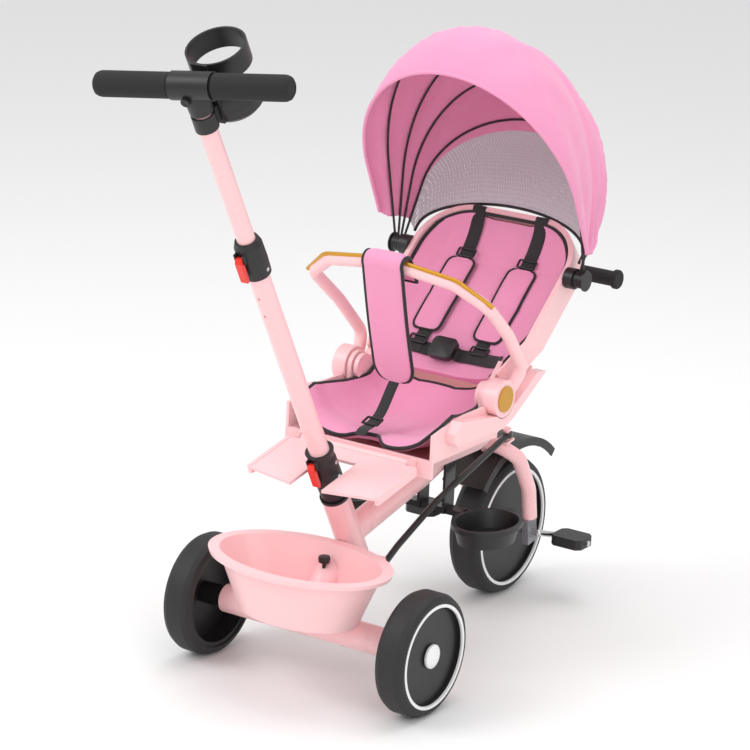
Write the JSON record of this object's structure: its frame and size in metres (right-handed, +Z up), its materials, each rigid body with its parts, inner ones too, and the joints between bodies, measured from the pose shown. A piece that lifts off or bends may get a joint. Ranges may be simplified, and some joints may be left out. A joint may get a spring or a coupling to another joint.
{
  "type": "children's push tricycle",
  "caption": "Child's pink push tricycle with a reclining parent-facing seat, folding canopy, grab bar, rear basket and a telescopic steering push bar.",
  "frame": {"origin": "on the floor, in the middle of the tricycle's overall box", "axes": "+Z up, +Y towards the front wheel, +X to the right seen from the push bar; the seat faces -Y"},
  "size_m": [0.466, 1.0868, 1.0967],
  "materials": {
    "pink_plastic": "smooth, slightly glossy",
    "pink_paint": "glossy powder coat",
    "black_plastic": "satin moulded",
    "black_rubber": "matt",
    "black_foam": "matt foam",
    "black_metal": "satin black",
    "steel": "plated",
    "grey_casting": "cast",
    "white_plastic": "glossy",
    "red_plastic": "glossy",
    "gold_plastic": "satin metallic",
    "pink_fabric": "woven polyester",
    "mesh_fabric": "open mesh",
    "black_webbing": "woven webbing"
  },
  "bodies": {
    "frame": {"rear_axle_tube": "pink_paint", "frame_tube_rear": "pink_paint", "push_bar_post": "pink_paint", "frame_tube_front": "pink_paint", "footrest_bracket": "black_metal", "rear_axle_rod": "steel", "frame_bushings": "black_plastic", "seat_socket": "pink_plastic", "rear_basket": "pink_plastic", "basket_knob": "black_plastic"},
    "rear_wheel_left": {"rear_tyre_left": "black_rubber", "rear_rim_left": "black_plastic", "rear_wheel_trim_left": "white_plastic"},
    "rear_wheel_right": {"rear_tyre_right": "black_rubber", "rear_rim_right": "black_plastic", "rear_wheel_trim_right": "white_plastic"},
    "fork_assembly": {"fork": "pink_paint", "fender": "black_plastic", "axle_brackets": "grey_casting", "handlebar": "pink_paint", "handlebar_grips": "black_foam"},
    "steering_rod": {"steering_rod": "black_metal"},
    "front_wheel": {"front_tyre": "black_rubber", "front_rim": "black_plastic", "front_wheel_rings": "white_plastic", "clutch_hub": "black_plastic"},
    "crank": {"pedal_crank": "steel"},
    "pedal_left": {"pedal_left": "black_plastic"},
    "pedal_right": {"pedal_right": "black_plastic"},
    "push_bar_lower": {"lower_pole": "pink_paint", "low_clamp": "black_plastic", "mid_clamp": "black_plastic", "clamp_rivets": "steel"},
    "low_clamp_lever": {"low_clamp_lever": "red_plastic"},
    "mid_clamp_lever": {"mid_clamp_lever": "red_plastic"},
    "push_bar_upper": {"upper_pole": "pink_paint", "handle_hub": "black_plastic", "handle_grips": "black_foam", "cup_holder": "black_plastic"},
    "release_button": {"release_button": "black_plastic"},
    "seat": {"seat_shell": "pink_plastic", "seat_pad": "pink_fabric"},
    "leg_rest": {"leg_rest": "pink_plastic"},
    "backrest": {"backrest_shell": "pink_plastic", "back_pad": "pink_fabric", "shoulder_harness": "black_webbing", "canopy_hubs": "black_plastic"},
    "bumper": {"bumper_bar": "pink_plastic", "bumper_gold_trim": "gold_plastic", "bumper_pad": "pink_fabric"},
    "canopy_rear": {"canopy_bow_rear": "black_plastic", "canopy_mesh_window": "mesh_fabric"},
    "canopy_third": {"canopy_bow_third": "black_plastic", "canopy_rear_panel": "pink_fabric"},
    "canopy_second": {"canopy_bow_second": "black_plastic", "canopy_middle_panel": "pink_fabric"},
    "canopy_front": {"canopy_bow_front": "black_plastic", "canopy_front_panel": "pink_fabric"},
    "footrest_left": {"footrest_left": "black_plastic"},
    "footrest_right": {"footrest_right": "black_plastic"}
  },
  "joints": [
    {"name": "rear_wheel_left_spin", "type": "hinge", "parent": "frame", "child": "rear_wheel_left", "pos_m": [-0.206, -0.13858, 0.1], "axis": [1, 0, 0], "continuous": true},
    {"name": "rear_wheel_right_spin", "type": "hinge", "parent": "frame", "child": "rear_wheel_right", "pos_m": [0.206, -0.13858, 0.1], "axis": [1, 0, 0], "continuous": true},
    {"name": "push_bar_steer", "type": "hinge", "parent": "frame", "child": "push_bar_lower", "pos_m": [0, -0.09058, 0.3], "axis": [0, -0.4924, 0.8704], "range_deg": [-20, 20]},
    {"name": "fork_steer", "type": "hinge", "parent": "frame", "child": "fork_assembly", "pos_m": [0, 0.3534, 0.28598], "axis": [0, -0.1736, 0.9848], "range_deg": [-20, 20]},
    {"name": "steering_rod_swivel", "type": "hinge", "parent": "fork_assembly", "child": "steering_rod", "pos_m": [0.046, 0.35772, 0.30756], "axis": [0, -0.1736, 0.9848], "range_deg": [-20, 20]},
    {"name": "front_wheel_spin", "type": "hinge", "parent": "fork_assembly", "child": "front_wheel", "pos_m": [0, 0.42202, 0.1214], "axis": [1, 0, 0], "continuous": true},
    {"name": "crank_spin", "type": "hinge", "parent": "fork_assembly", "child": "crank", "pos_m": [0, 0.42202, 0.1214], "axis": [1, 0, 0], "continuous": true},
    {"name": "pedal_left_spin", "type": "hinge", "parent": "crank", "child": "pedal_left", "pos_m": [-0.121, 0.37352, 0.13716], "axis": [1, 0, 0], "continuous": true},
    {"name": "pedal_right_spin", "type": "hinge", "parent": "crank", "child": "pedal_right", "pos_m": [0.121, 0.47052, 0.10564], "axis": [1, 0, 0], "continuous": true},
    {"name": "low_clamp_lever_turn", "type": "hinge", "parent": "push_bar_lower", "child": "low_clamp_lever", "pos_m": [0, -0.15941, 0.36906], "axis": [-1, 0, 0], "range_deg": [0, 100]},
    {"name": "mid_clamp_lever_turn", "type": "hinge", "parent": "push_bar_lower", "child": "mid_clamp_lever", "pos_m": [0, -0.37115, 0.74331], "axis": [-1, 0, 0], "range_deg": [0, 100]},
    {"name": "push_bar_height", "type": "slide", "parent": "push_bar_lower", "child": "push_bar_upper", "axis": [0, -0.4924, 0.8704], "range_m": [-0.15, 0]},
    {"name": "release_button_press", "type": "slide", "parent": "push_bar_upper", "child": "release_button", "axis": [-0.1959, 0.8535, 0.4829], "range_m": [0, 0.003], "stiffness_N_per_m": 500, "springref_m": -0.004},
    {"name": "seat_lift_off", "type": "slide", "parent": "frame", "child": "seat", "axis": [0, 0, 1], "range_m": [0, 0.03]},
    {"name": "leg_rest_fold", "type": "hinge", "parent": "seat", "child": "leg_rest", "pos_m": [0, -0.04058, 0.366], "axis": [1, 0, 0], "range_deg": [0, 35]},
    {"name": "backrest_recline", "type": "hinge", "parent": "seat", "child": "backrest", "pos_m": [0, 0.15142, 0.441], "axis": [1, 0, 0], "range_deg": [0, 28]},
    {"name": "bumper_raise", "type": "hinge", "parent": "seat", "child": "bumper", "pos_m": [0, 0.15142, 0.441], "axis": [-1, 0, 0], "range_deg": [0, 18], "deforming": ["bumper_pad"]},
    {"name": "canopy_rear_fold", "type": "hinge", "parent": "backrest", "child": "canopy_rear", "pos_m": [0, 0.3386, 0.60777], "axis": [-1, 0, 0], "range_deg": [0, 12], "deforming": ["canopy_mesh_window"]},
    {"name": "canopy_third_fold", "type": "hinge", "parent": "canopy_rear", "child": "canopy_third", "pos_m": [0, 0.3386, 0.60777], "axis": [-1, 0, 0], "range_deg": [0, 12], "deforming": ["canopy_rear_panel"]},
    {"name": "canopy_second_fold", "type": "hinge", "parent": "canopy_third", "child": "canopy_second", "pos_m": [0, 0.3386, 0.60777], "axis": [-1, 0, 0], "range_deg": [0, 12], "deforming": ["canopy_middle_panel"]},
    {"name": "canopy_front_fold", "type": "hinge", "parent": "canopy_second", "child": "canopy_front", "pos_m": [0, 0.3386, 0.60777], "axis": [-1, 0, 0], "range_deg": [0, 12], "deforming": ["canopy_front_panel"]},
    {"name": "footrest_left_fold", "type": "hinge", "parent": "frame", "child": "footrest_left", "pos_m": [-0.067, 0.21142, 0.207], "axis": [0, 1, 0], "range_deg": [0, 90]},
    {"name": "footrest_right_fold", "type": "hinge", "parent": "frame", "child": "footrest_right", "pos_m": [0.067, 0.21142, 0.207], "axis": [0, -1, 0], "range_deg": [0, 90]}
  ],
  "couplings": [
    {"joint": "fork_steer", "follows": "push_bar_steer", "ratio": 1},
    {"joint": "steering_rod_swivel", "follows": "push_bar_steer", "ratio": -1},
    {"joint": "crank_spin", "follows": "front_wheel_spin", "ratio": 1},
    {"joint": "canopy_third_fold", "follows": "canopy_rear_fold", "ratio": 1},
    {"joint": "canopy_second_fold", "follows": "canopy_rear_fold", "ratio": 1},
    {"joint": "canopy_front_fold", "follows": "canopy_rear_fold", "ratio": 1}
  ]
}
